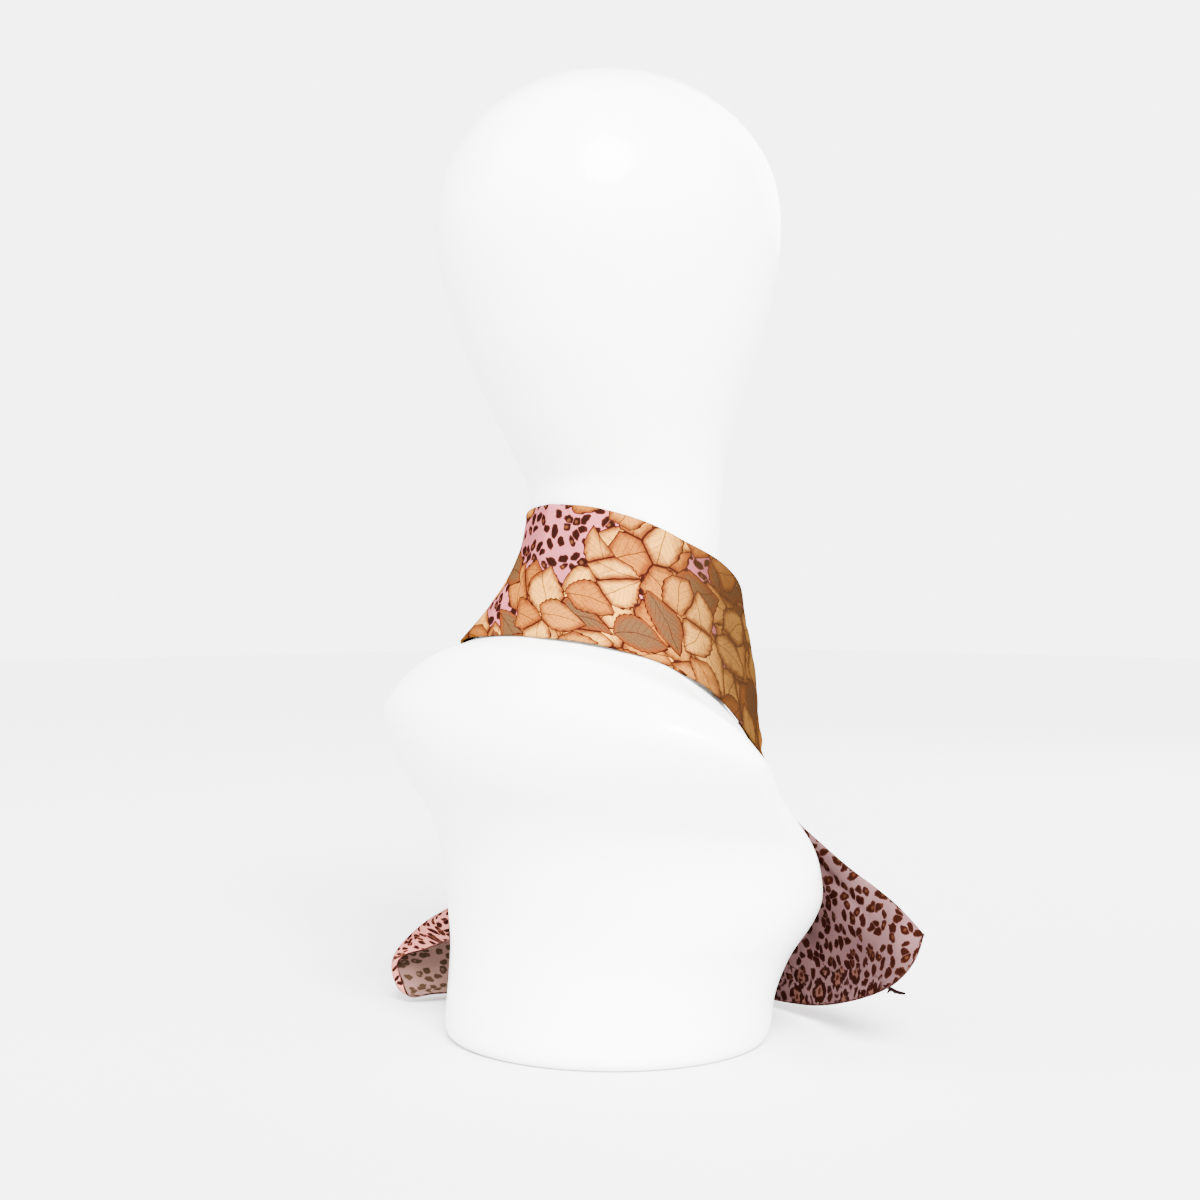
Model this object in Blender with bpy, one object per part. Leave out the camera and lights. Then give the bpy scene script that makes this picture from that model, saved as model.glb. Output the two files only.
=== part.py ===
"""Foulard knotted round the neck of a limbless display bust. Metres, +Z up.

The front, with the knot, faces -Y and the wearer's left is +X. The origin is the middle of the
base, on the surface that the bust stands on.
"""
import math

import bmesh
import bpy
from mathutils import Vector
from mathutils.bvhtree import BVHTree

MM = 0.001

# Bust
BUST_AROUND = 52
BUST_RINGS = 60
CROWN_Z = 500.5

# A row for each section of the bust, from the base to the crown, in millimetres and degrees: the
# middle's place behind the origin and its height, how far the section leans down to the front,
# half its width, its reach to the front and to the back, and how square the front is (2 is an
# ellipse, less is more pointed).
BUST_SECTIONS = (
    # y, z, lean, wide, front, back, square
    (1.0, 0.0, 0.0, 81.0, 77.0, 77.0, 2.1),
    (1.0, 3.0, 0.0, 84.0, 80.0, 80.0, 2.1),
    (0.0, 10.0, 0.0, 86.0, 81.5, 81.5, 2.1),
    (-2.0, 26.0, 0.0, 88.5, 80.0, 80.0, 2.1),
    (-8.0, 45.0, 0.0, 94.0, 81.5, 82.0, 2.1),
    (-14.0, 61.0, 0.0, 102.0, 87.0, 86.0, 2.1),
    (-17.0, 75.0, 2.0, 106.0, 90.0, 90.0, 2.05),
    (-14.0, 91.0, 5.0, 107.5, 93.0, 90.0, 2.0),
    (-5.0, 107.0, 8.0, 110.0, 101.0, 88.0, 1.9),
    (8.0, 123.0, 11.0, 118.0, 105.0, 86.0, 1.7),
    (19.0, 138.0, 14.0, 126.0, 102.0, 80.0, 1.5),
    (26.0, 152.0, 17.0, 130.0, 99.0, 72.0, 1.42),
    (30.0, 164.0, 20.0, 121.0, 99.0, 63.0, 1.48),
    (31.0, 173.5, 22.0, 107.5, 99.0, 58.0, 1.7),
    (30.0, 180.0, 24.0, 94.0, 98.0, 54.0, 2.16),
    (27.0, 184.0, 24.0, 85.0, 94.0, 51.0, 2.36),
    (22.0, 187.5, 24.0, 77.0, 88.0, 49.0, 2.36),
    (18.0, 192.0, 24.0, 70.0, 82.0, 47.0, 2.26),
    (12.0, 201.0, 24.0, 63.0, 74.0, 46.5, 2.1),
    (3.0, 217.0, 23.0, 56.0, 65.0, 47.5, 2.0),
    (-5.0, 234.0, 20.0, 52.0, 57.0, 48.5, 2.0),
    (-11.0, 251.0, 15.0, 50.0, 52.5, 49.5, 2.0),
    (-13.0, 267.0, 10.0, 49.5, 50.5, 51.0, 2.0),
    (-13.0, 283.0, 5.0, 49.5, 51.5, 53.0, 2.0),
    (-11.0, 297.0, 2.0, 52.0, 55.0, 57.5, 2.0),
    (-9.0, 313.0, 0.0, 57.0, 60.0, 64.0, 2.0),
    (-7.0, 331.0, 0.0, 63.5, 68.0, 72.0, 2.0),
    (-5.0, 351.0, 0.0, 70.5, 77.0, 80.0, 2.0),
    (-3.5, 373.0, 0.0, 77.0, 86.0, 86.5, 2.0),
    (-2.5, 395.0, 0.0, 81.5, 92.0, 92.0, 2.0),
    (-2.5, 415.0, 0.0, 83.5, 94.5, 94.5, 2.0),
    (-3.5, 433.0, 0.0, 82.5, 93.0, 93.0, 2.0),
    (-4.0, 449.0, 0.0, 78.5, 88.5, 88.5, 2.0),
    (-4.0, 463.0, 0.0, 71.5, 81.0, 81.0, 2.0),
    (-4.0, 475.0, 0.0, 62.0, 70.5, 70.5, 2.0),
    (-4.0, 485.0, 0.0, 50.0, 57.0, 57.0, 2.0),
    (-4.0, 493.0, 0.0, 36.0, 41.0, 41.0, 2.0),
    (-4.0, 498.5, 0.0, 19.0, 22.0, 22.0, 2.0),
)

# Knot
KNOT_CENTRE = (0.0, -91.0, 134.0)
KNOT_RADII = (19.0, 15.0, 17.0)
KNOT_CLEARANCE = 0.5
KNOT_ROUND = 24
KNOT_HIGH = 14

# Band: the folded cloth, from the knot round the nape and back to the knot
BAND_WALL = 2.0
BAND_ALONG = 60
BAND_ACROSS = 12
BAND_PLEATS = 3.0
BAND_PLEAT_DEPTH = 2.6
BODY_GAP = 0.35

# A row for each section of the band on the wearer's right, from the nape to the knot, in
# millimetres: its top edge, its bottom edge, and how far its middle stands out from a straight
# line between them. The wearer's left is its mirror image.
BAND_SECTIONS = (
    # top x, top y, top z, bottom x, bottom y, bottom z, belly
    (0.0, 40.0, 274.0, 0.0, 66.0, 208.0, -6.0),
    (-23.5, 32.5, 272.0, -30.0, 64.0, 208.0, -7.0),
    (-42.0, 15.5, 265.0, -56.0, 52.0, 204.0, -6.0),
    (-51.0, -6.0, 255.0, -70.0, 30.0, 195.0, -3.0),
    (-54.0, -28.0, 245.0, -75.5, 1.0, 182.0, 0.0),
    (-48.5, -49.0, 232.0, -71.5, -33.0, 156.0, 1.5),
    (-36.0, -62.0, 213.0, -53.0, -59.5, 137.0, 3.0),
    (-23.0, -76.0, 190.0, -35.5, -81.0, 131.0, 3.0),
    (-11.0, -88.0, 158.0, -19.0, -92.0, 129.0, 2.0),
)

# Tails
TAIL_WALL = 1.4
TAIL_GAP = 1.3
TAIL_ALONG = 28
TAIL_ACROSS = 22
TIP_ROUND = 0.045

# A row for each section of a tail, from the knot to its hem, in millimetres: the lower edge, the
# corner that the lower layer runs to, the fold above it, the free edge of what is turned over at
# the fold, how far the lower layer sags, and how far the turned layer stands off.
RIGHT_TAIL_SECTIONS = (
    # lower x, y, z, corner x, y, z, fold x, y, z, free x, y, z, sag, apart
    (-7.0, -94.0, 118.0, -11.0, -92.0, 123.0, -15.0, -96.0, 128.0, -9.0, -102.0, 121.0, 0.0, 2.0),
    (-4.0, -102.0, 96.0, -27.0, -96.0, 108.0, -39.0, -95.0, 112.5, -26.0, -104.0, 103.0, 2.0, 4.0),
    (0.0, -109.0, 70.0, -52.0, -96.0, 88.0, -65.0, -94.0, 97.0, -50.0, -106.0, 83.0, 4.0, 5.0),
    (4.0, -114.0, 44.0, -80.0, -93.0, 70.0, -91.0, -93.0, 83.0, -74.0, -107.0, 66.0, 5.0, 6.0),
    (6.0, -116.0, 20.0, -112.0, -84.0, 50.0, -118.0, -91.0, 70.5, -98.0, -107.0, 49.0, 6.0, 6.0),
    (8.0, -117.0, 4.0, -133.0, -71.0, 34.0, -138.5, -88.0, 54.5, -108.0, -103.0, 35.0, 7.0, 6.0),
)
LEFT_TAIL_SECTIONS = (
    (7.0, -94.0, 118.0, 10.0, -99.0, 121.0, 15.0, -96.0, 128.0, 10.0, -92.0, 124.0, 0.0, 2.0),
    (26.0, -104.0, 96.0, 34.0, -108.0, 102.0, 44.0, -100.0, 116.0, 36.0, -94.0, 110.0, 1.0, 3.0),
    (52.0, -102.0, 68.0, 66.0, -104.0, 78.0, 76.0, -92.0, 101.0, 66.0, -88.0, 94.0, 1.0, 4.0),
    (82.0, -84.0, 36.0, 98.0, -82.0, 52.0, 104.0, -70.0, 81.0, 94.0, -62.0, 74.0, 1.0, 5.0),
    (102.0, -52.0, 12.0, 120.0, -44.0, 26.0, 126.0, -34.0, 61.0, 112.0, -26.0, 58.0, 1.0, 5.0),
    (112.0, -24.0, 5.0, 132.0, -4.0, 10.0, 139.0, 4.0, 38.5, 124.0, -6.0, 52.0, 0.0, 5.0),
    (118.0, -4.0, 5.0, 137.0, 28.0, 7.0, 141.0, 33.0, 23.5, 126.0, 3.0, 49.0, 0.0, 4.5),
    (116.0, 4.0, 5.0, 131.0, 30.0, 5.0, 129.0, 32.0, 24.0, 109.0, 17.5, 37.0, 0.0, 2.0),
)


def clear_scene():
    for item in list(bpy.data.objects):
        bpy.data.objects.remove(item, do_unlink=True)


def make_material(name, colour, roughness, metallic=0.0):
    material = bpy.data.materials.new(name)
    material.use_nodes = True
    shader = material.node_tree.nodes["Principled BSDF"]
    shader.inputs["Base Color"].default_value = (*colour, 1.0)
    shader.inputs["Roughness"].default_value = roughness
    shader.inputs["Metallic"].default_value = metallic
    material.diffuse_color = (*colour, 1.0)
    return material


def add_object(name, builder, material, sharp_above=50.0):
    mesh = bpy.data.meshes.new(name)
    bmesh.ops.recalc_face_normals(builder, faces=builder.faces)
    builder.to_mesh(mesh)
    builder.free()
    mesh.materials.append(material)
    mesh.shade_smooth()
    mesh.set_sharp_from_angle(angle=math.radians(sharp_above))
    piece = bpy.data.objects.new(name, mesh)
    bpy.context.collection.objects.link(piece)
    return piece


def between(rows, place):
    """The row at a place from 0 to 1 along the table, on a smooth curve through all of its rows."""
    last = len(rows) - 1
    spot = min(max(place, 0.0), 1.0) * last
    i = min(int(spot), last - 1)
    t = spot - i
    before, start, end, after = (rows[min(max(i + k, 0), last)] for k in (-1, 0, 1, 2))
    values = []
    for a, b, c, d in zip(before, start, end, after):
        bend = (2.0 * a - 5.0 * b + 4.0 * c - d) * t * t
        turn = (3.0 * b - a - 3.0 * c + d) * t * t * t
        values.append(0.5 * (2.0 * b + (c - a) * t + bend + turn))
    return values


def signed_power(value, power):
    return math.copysign(abs(value) ** power, value)


def section_point(section, angle):
    """A point on one section of the bust; the angle runs from +X by the back."""
    y, z, lean, wide, front, back, square = section
    behind = math.sin(angle) > 0.0
    power = 2.0 / (2.05 if behind else square)
    across = wide * signed_power(math.cos(angle), power)
    along = (back if behind else front) * signed_power(math.sin(angle), power)
    slope = math.radians(lean)
    return Vector((across, y + along * math.cos(slope), z + along * math.sin(slope))) * MM


def build_bust(material):
    builder = bmesh.new()
    rings = []
    for step in range(BUST_RINGS):
        section = between(BUST_SECTIONS, step / (BUST_RINGS - 1))
        if step == 0:
            section = BUST_SECTIONS[0]
        angles = [2.0 * math.pi * i / BUST_AROUND for i in range(BUST_AROUND)]
        rings.append([builder.verts.new(section_point(section, angle)) for angle in angles])
    for lower, upper in zip(rings, rings[1:]):
        for i in range(BUST_AROUND):
            j = (i + 1) % BUST_AROUND
            builder.faces.new((lower[i], lower[j], upper[j], upper[i]))
    builder.faces.new(list(reversed(rings[0])))
    crown = builder.verts.new(Vector((0.0, BUST_SECTIONS[-1][0], CROWN_Z)) * MM)
    for i in range(BUST_AROUND):
        builder.faces.new((rings[-1][i], rings[-1][(i + 1) % BUST_AROUND], crown))
    return add_object("display_bust", builder, material)


def surface_of(piece):
    builder = bmesh.new()
    builder.from_mesh(piece.data)
    tree = BVHTree.FromBMesh(builder)
    builder.free()
    return tree


def hold_off(point, tree, distance):
    """The point, moved out where it would lie nearer to the surface than the distance."""
    near, normal, _, _ = tree.find_nearest(point)
    depth = (point - near).dot(normal)
    if depth >= distance:
        return point
    return near + normal * distance


def hold_off_knot(point, distance):
    """The point, moved out of the knot's egg shape."""
    centre = Vector(KNOT_CENTRE) * MM
    away = point - centre
    scaled = Vector((away[i] / ((KNOT_RADII[i] + distance) * MM) for i in range(3)))
    if scaled.length >= 1.0:
        return point
    return centre + away / max(scaled.length, 1e-6)


def cloth_grid(name, along, across, place_of, wall, material):
    """A sheet of cloth with a wall: a grid whose points are put in their places by a function."""
    builder = bmesh.new()
    bmesh.ops.create_grid(builder, x_segments=along, y_segments=across, size=0.5)
    for vert in builder.verts:
        vert.co = place_of(vert.co.x + 0.5, vert.co.y + 0.5)
    piece = add_object(name, builder, material, 60.0)
    solid = piece.modifiers.new("wall", "SOLIDIFY")
    solid.thickness = wall * MM
    solid.offset = 0.0
    solid.use_even_offset = False
    solid.use_rim = True
    return piece


def band_middle(u, v):
    """A point on the band's middle layer: u from knot to knot, v from the top edge to the bottom."""
    side = 1.0 if u < 0.5 else -1.0
    row = between(BAND_SECTIONS, abs(2.0 * u - 1.0))
    top = Vector(row[0:3])
    bottom = Vector(row[3:6])
    middle = top.lerp(bottom, v)
    outward = Vector((middle.x, middle.y + 15.0, 0.0)).normalized()
    closeness = abs(2.0 * u - 1.0) ** 4
    pleats = BAND_PLEAT_DEPTH * closeness * math.cos(2.0 * math.pi * BAND_PLEATS * v)
    middle += outward * (row[6] * math.sin(math.pi * v) + pleats)
    return Vector((middle.x * side, middle.y, middle.z)) * MM


def build_band(bust_surface, material):
    clearance = (0.5 * BAND_WALL + BODY_GAP) * MM

    def place_of(u, v):
        point = hold_off(band_middle(u, v), bust_surface, clearance)
        return hold_off_knot(point, KNOT_CLEARANCE + 0.5 * BAND_WALL)

    return cloth_grid("foulard_band", BAND_ALONG, BAND_ACROSS, place_of, BAND_WALL, material)


def tail_middle(sections, u, v):
    """A point on a tail's middle layer: u from the knot to the hem, v from the lower edge by the
    corner and the fold to the free edge."""
    row = between(sections, u * (1.0 - TIP_ROUND * math.exp(-(((v - 0.6) / 0.1) ** 2))))
    lower, corner, fold, free = (Vector(row[i:i + 3]) for i in (0, 3, 6, 9))
    sag, apart = row[12:14]
    sagging = lower.lerp(corner, 0.5) - Vector((0.0, 0.6, 1.0)) * sag
    over = fold.lerp(free, 0.45)
    off = (free - fold).cross(corner - lower).cross(free - fold)
    over += off.normalized() * (-apart if off.dot(fold - corner) < 0.0 else apart)
    return Vector(between((lower, sagging, corner, fold, over, free), v)) * MM


def build_tail(name, sections, bust_surface, material):
    clearance = (0.5 * TAIL_WALL + TAIL_GAP) * MM

    def place_of(u, v):
        point = hold_off(tail_middle(sections, u, v), bust_surface, clearance)
        point = hold_off_knot(point, KNOT_CLEARANCE + 0.5 * TAIL_WALL)
        point.z = max(point.z, (0.5 * TAIL_WALL + BODY_GAP) * MM)
        return point

    return cloth_grid(name, TAIL_ALONG, TAIL_ACROSS, place_of, TAIL_WALL, material)


def build_knot(material):
    builder = bmesh.new()
    bmesh.ops.create_uvsphere(builder, u_segments=KNOT_ROUND, v_segments=KNOT_HIGH, radius=1.0)
    for vert in builder.verts:
        vert.co = Vector((KNOT_CENTRE[i] + KNOT_RADII[i] * vert.co[i] for i in range(3))) * MM
    return add_object("foulard_knot", builder, material)


def main():
    clear_scene()
    bust_white = make_material("gloss_white", (0.86, 0.86, 0.85), 0.18)
    band_silk = make_material("leaf_print_silk", (0.62, 0.36, 0.18), 0.45)
    tail_silk = make_material("leopard_silk", (0.55, 0.33, 0.32), 0.45)
    bust = build_bust(bust_white)
    bust_surface = surface_of(bust)
    build_knot(band_silk)
    build_band(bust_surface, band_silk)
    build_tail("foulard_tail_right", RIGHT_TAIL_SECTIONS, bust_surface, tail_silk)
    build_tail("foulard_tail_left", LEFT_TAIL_SECTIONS, bust_surface, tail_silk)


main()
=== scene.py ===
import math
import bmesh
import bpy
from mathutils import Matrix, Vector, noise
from mathutils.bvhtree import BVHTree


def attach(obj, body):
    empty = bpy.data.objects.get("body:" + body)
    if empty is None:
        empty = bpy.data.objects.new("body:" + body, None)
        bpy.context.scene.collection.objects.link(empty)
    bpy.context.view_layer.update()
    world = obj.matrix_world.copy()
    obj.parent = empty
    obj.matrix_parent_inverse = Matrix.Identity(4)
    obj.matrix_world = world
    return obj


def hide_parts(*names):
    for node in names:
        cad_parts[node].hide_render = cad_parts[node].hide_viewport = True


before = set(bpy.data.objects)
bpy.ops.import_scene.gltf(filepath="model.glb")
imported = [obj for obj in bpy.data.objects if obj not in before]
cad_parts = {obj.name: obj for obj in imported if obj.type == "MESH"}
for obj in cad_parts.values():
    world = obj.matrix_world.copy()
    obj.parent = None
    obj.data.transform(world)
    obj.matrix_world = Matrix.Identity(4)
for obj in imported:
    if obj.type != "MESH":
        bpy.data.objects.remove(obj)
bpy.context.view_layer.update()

mm = 0.001
fullTurn = 6.283


# a smooth curve through the rows, at a share of their length
def between(rows, place):
    last = len(rows) - 1
    spot = min(max(place, 0.0), 1.0) * last
    i = min(int(spot), last - 1)
    t = spot - i
    before, start, end, after = (rows[min(max(i + k, 0), last)] for k in (-1, 0, 1, 2))
    values = []
    for a, b, c, d in zip(before, start, end, after):
        bend = (2.0 * a - 5.0 * b + 4.0 * c - d) * t * t
        turn = (3.0 * b - a - 3.0 * c + d) * t * t * t
        values.append(0.5 * (2.0 * b + (c - a) * t + bend + turn))
    return values


def smooth(low, high, value):
    t = min(max((value - low) / (high - low), 0.0), 1.0)
    return t * t * (3.0 - 2.0 * t)


def signedPower(value, power):
    return math.copysign(abs(value) ** power, value)


def newObject(name, builder, materials, body="root"):
    mesh = bpy.data.meshes.new(name)
    builder.to_mesh(mesh)
    builder.free()
    for material in materials:
        mesh.materials.append(material)
    mesh.shade_smooth()
    piece = bpy.data.objects.new(name, mesh)
    bpy.context.collection.objects.link(piece)
    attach(piece, body)
    return piece


bust = {
    "around": 144,  # faces round it
    "rings": 150,
    "baseShare": 0.03,  # share of the rings on the flat base
    "colour": (0.87, 0.865, 0.855),
    "roughness": 0.34,
    "coat": 0.3,
    "coatRoughness": 0.05,
    "shine": 0.3,
}

# y, z, lean, half width, front, back, squareness of the front
bustRows = (
    (1.0, 0.0, 0.0, 81.0, 77.0, 77.0, 2.1),
    (1.0, 3.0, 0.0, 84.0, 80.0, 80.0, 2.1),
    (0.0, 10.0, 0.0, 86.0, 81.5, 81.5, 2.1),
    (-2.0, 26.0, 0.0, 88.5, 80.0, 80.0, 2.1),
    (-8.0, 45.0, 0.0, 94.0, 81.5, 82.0, 2.1),
    (-14.0, 61.0, 0.0, 102.0, 87.0, 86.0, 2.1),
    (-17.0, 75.0, 2.0, 106.0, 90.0, 90.0, 2.05),
    (-14.0, 91.0, 5.0, 107.5, 93.0, 90.0, 2.0),
    (-5.0, 107.0, 8.0, 110.0, 101.0, 88.0, 1.9),
    (8.0, 123.0, 11.0, 118.0, 105.0, 86.0, 1.7),
    (19.0, 138.0, 14.0, 126.0, 102.0, 80.0, 1.5),
    (26.0, 152.0, 17.0, 130.0, 99.0, 72.0, 1.42),
    (30.0, 164.0, 20.0, 121.0, 99.0, 63.0, 1.48),
    (31.0, 173.5, 22.0, 107.5, 99.0, 58.0, 1.7),
    (30.0, 180.0, 24.0, 94.0, 98.0, 54.0, 2.16),
    (27.0, 184.0, 24.0, 85.0, 94.0, 51.0, 2.36),
    (22.0, 187.5, 24.0, 77.0, 88.0, 49.0, 2.36),
    (18.0, 192.0, 24.0, 70.0, 82.0, 47.0, 2.26),
    (12.0, 201.0, 24.0, 63.0, 74.0, 46.5, 2.1),
    (3.0, 217.0, 23.0, 56.0, 65.0, 47.5, 2.0),
    (-5.0, 234.0, 20.0, 52.0, 57.0, 48.5, 2.0),
    (-11.0, 251.0, 15.0, 50.0, 52.5, 49.5, 2.0),
    (-13.0, 267.0, 10.0, 49.5, 50.5, 51.0, 2.0),
    (-13.0, 283.0, 5.0, 49.5, 51.5, 53.0, 2.0),
    (-11.0, 297.0, 2.0, 52.0, 55.0, 57.5, 2.0),
    (-9.0, 313.0, 0.0, 57.0, 60.0, 64.0, 2.0),
    (-7.0, 331.0, 0.0, 63.5, 68.0, 72.0, 2.0),
    (-5.0, 351.0, 0.0, 70.5, 77.0, 80.0, 2.0),
    (-3.5, 373.0, 0.0, 77.0, 86.0, 86.5, 2.0),
    (-2.5, 395.0, 0.0, 81.5, 92.0, 92.0, 2.0),
    (-2.5, 415.0, 0.0, 83.5, 94.5, 94.5, 2.0),
    (-3.5, 433.0, 0.0, 82.5, 93.0, 93.0, 2.0),
    (-4.0, 449.0, 0.0, 78.5, 88.5, 88.5, 2.0),
    (-4.0, 463.0, 0.0, 71.5, 81.0, 81.0, 2.0),
    (-4.0, 475.0, 0.0, 62.0, 70.5, 70.5, 2.0),
    (-4.0, 485.0, 0.0, 50.0, 57.0, 57.0, 2.0),
    (-4.0, 493.0, 0.0, 36.0, 41.0, 41.0, 2.0),
    (-4.0, 498.3, 0.0, 19.0, 22.0, 22.0, 2.0),
    (-4.0, 500.0, 0.0, 8.5, 10.0, 10.0, 2.0),
    (-4.0, 500.5, 0.0, 0.0, 0.0, 0.0, 2.0),
)


# the sphere's points and faces in the same order each run
def sortSphere(builder, around, rings):
    def pointPlace(vert):
        ring = round(math.acos(min(max(vert.co.z, -1.0), 1.0)) / math.pi * rings)
        return ring * around + round(math.atan2(vert.co.y, vert.co.x) / (2.0 * math.pi) * around) % around

    builder.verts.sort(key=pointPlace)
    builder.verts.index_update()
    many = len(builder.verts)

    def facePlace(face):
        low, middle, high = sorted(vert.index for vert in face.verts)[:3]
        return (low * many + middle) * many + high

    builder.faces.sort(key=facePlace)
    builder.faces.index_update()


def bustPoint(place, angle):
    base = bust["baseShare"]
    if place < base:
        share = place / base
        y, z, lean, wide, front, back, square = bustRows[0]
        wide, front, back = wide * share, front * share, back * share
    else:
        y, z, lean, wide, front, back, square = between(bustRows, (place - base) / (1.0 - base))
    behind = math.sin(angle) > 0.0
    power = 2.0 / (2.05 if behind else square)
    across = wide * signedPower(math.cos(angle), power)
    along = (back if behind else front) * signedPower(math.sin(angle), power)
    slope = math.radians(lean)
    return Vector((across, y + along * math.cos(slope), z + along * math.sin(slope))) * mm


def buildBust(material):
    builder = bmesh.new()
    bmesh.ops.create_uvsphere(builder, u_segments=bust["around"], v_segments=bust["rings"], radius=1.0)
    sortSphere(builder, bust["around"], bust["rings"])
    for vert in builder.verts:
        x, y, z = vert.co
        place = 1.0 - math.acos(min(max(z, -1.0), 1.0)) / math.pi
        vert.co = bustPoint(place, math.atan2(y, x))
    piece = newObject("bustSmooth", builder, [material])
    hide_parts("display_bust")
    return piece


def surfaceOf(piece):
    faces = []
    for face in piece.data.polygons:
        corners = list(face.vertices)
        first = corners.index(min(corners))
        faces.append(corners[first:] + corners[:first])
    return BVHTree.FromPolygons([vert.co for vert in piece.data.vertices], faces)


# keeps cloth at least this far off the bust
def holdOff(point, tree, distance):
    near, normal, _, _ = tree.find_nearest(point)
    depth = (point - near).dot(normal)
    if depth >= distance:
        return point
    return near + normal * distance


def holdOffKnot(point, distance):
    centre = Vector(knot["centre"]) * mm
    away = point - centre
    scaled = Vector((away[i] / ((knot["radii"][i] + distance) * mm) for i in range(3)))
    if scaled.length >= 1.0:
        return point
    return centre + away / max(scaled.length, 1e-6)


def creaseHeight(creases, u, v, length, width):
    total = 0.0
    here = Vector((u * length, v * width))
    for startU, startV, endU, endV, wide, high in creases:
        start = Vector((startU * length, startV * width))
        line = Vector((endU * length, endV * width)) - start
        t = min(max((here - start).dot(line) / line.length_squared, 0.0), 1.0)
        distance = (here - start - line * t).length
        openStart = 1.0 if startU == 0.0 else smooth(0.0, 0.3, t)
        openEnd = 1.0 if endU == 1.0 else smooth(0.0, 0.45, 1.0 - t)
        total += high * openStart * openEnd * math.exp(-((distance / (wide * mm)) ** 2))
    return total


# the cloth laid flat, so that the print keeps its scale
def flatPlaces(places, along, across):
    middle = across // 2
    flat = {}
    for i in range(along + 1):
        flat[i, middle] = [0.0, 0.0]
        if i:
            flat[i, middle][0] = flat[i - 1, middle][0] + (places[i, middle] - places[i - 1, middle]).length
        for way in (1, -1):
            run = 0.0
            for j in range(middle + way, across + 1 if way > 0 else -1, way):
                run += (places[i, j] - places[i, j - way]).length
                flat[i, j] = [0.0, way * run]
    for j in range(across + 1):
        for i in range(1, along + 1):
            flat[i, j][0] = flat[i - 1, j][0] + (places[i, j] - places[i - 1, j]).length
    return flat


# the same for a tail, which opens from the knot like a fan
def fanPlaces(places, along, across):
    middle = across // 2
    tip = places[0, middle]
    flat = {}
    for i in range(along + 1):
        for way in (1, -1):
            angle = 0.0
            for j in range(middle, across + 1 if way > 0 else -1, way):
                arm = places[i, j] - tip
                if j != middle and arm.length > 0.0 and (places[i, j - way] - tip).length > 0.0:
                    angle += way * arm.angle(places[i, j - way] - tip)
                flat[i, j] = [arm.length * math.cos(angle), arm.length * math.sin(angle)]
    return flat


def clothGrid(name, along, across, placeOf, thickness, materials, flatten=flatPlaces):
    builder = bmesh.new()
    bmesh.ops.create_grid(builder, x_segments=along, y_segments=across, size=0.5, calc_uvs=True)
    places = {}
    keys = {}
    for vert in builder.verts:
        key = round((vert.co.x + 0.5) * along), round((vert.co.y + 0.5) * across)
        vert.co = placeOf(key[0] / along, key[1] / across)
        places[key] = vert.co.copy()
        keys[vert] = key
    flat = flatten(places, along, across)
    toHem = {}
    for j in range(across + 1):
        toHem[along, j] = 0.0
        for i in range(along - 1, -1, -1):
            toHem[i, j] = toHem[i + 1, j] + (places[i + 1, j] - places[i, j]).length
    layer = builder.loops.layers.uv.new("cloth")
    hemLayer = builder.loops.layers.uv.new("fromHem")
    for face in builder.faces:
        for loop in face.loops:
            key = keys[loop.vert]
            loop[layer].uv = flat[key]
            loop[hemLayer].uv = (toHem[key], key[1] / across)
    piece = newObject(name, builder, materials)
    wall = piece.modifiers.new("wall", "SOLIDIFY")
    wall.thickness = thickness * mm
    wall.offset = 0.0
    wall.use_rim = True
    if len(materials) > 1:
        wall.material_offset = 1
        wall.material_offset_rim = len(materials) - 1
    return piece


band = {
    "along": 260,  # faces along the run
    "across": 60,
    "layerGap": 1.3,  # mm between the outer and the inner layer
    "foldShare": 0.035,  # share of the profile in each rounded edge
    "innerShare": 0.30,  # share of the profile on the inside
    "innerDepth": 0.62,  # how far down the inner layer reaches
    "thickness": 0.35,  # mm
    "clearance": 1.1,  # mm off the bust
    "pleat": 1.5,  # mm, close to the knot
    "ripple": 0.35,  # mm, all over
    "flat": (0.15, 0.42),  # m
    "napeAt": 0.215,  # m along the cloth
    "paintedShadeFrom": 0.045,  # m from the nape where the painted shade on both sides of the neck starts
    "paintedShadeTo": 0.105,
    "paintedShadeEnd": (0.145, 0.19),
    "paintedShadeLeft": 0.45,  # share of the painted shade that stays in front
}

# top x, y, z, bottom x, y, z, belly; from the nape to the knot, mirrored for the wearer's left
bandRows = (
    (0.0, 40.0, 274.0, 0.0, 66.0, 208.0, -6.0),
    (-23.5, 32.5, 272.0, -30.0, 64.0, 208.0, -7.0),
    (-42.0, 15.5, 265.0, -56.0, 52.0, 204.0, -6.0),
    (-51.0, -6.0, 255.0, -70.0, 30.0, 195.0, -3.0),
    (-54.0, -28.0, 245.0, -75.5, 1.0, 182.0, 0.0),
    (-48.5, -49.0, 232.0, -71.5, -33.0, 156.0, 1.5),
    (-36.0, -62.0, 213.0, -53.0, -59.5, 137.0, 3.0),
    (-23.0, -76.0, 190.0, -35.5, -81.0, 131.0, 3.0),
    (-11.0, -88.0, 158.0, -19.0, -92.0, 129.0, 2.0),
)

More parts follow.
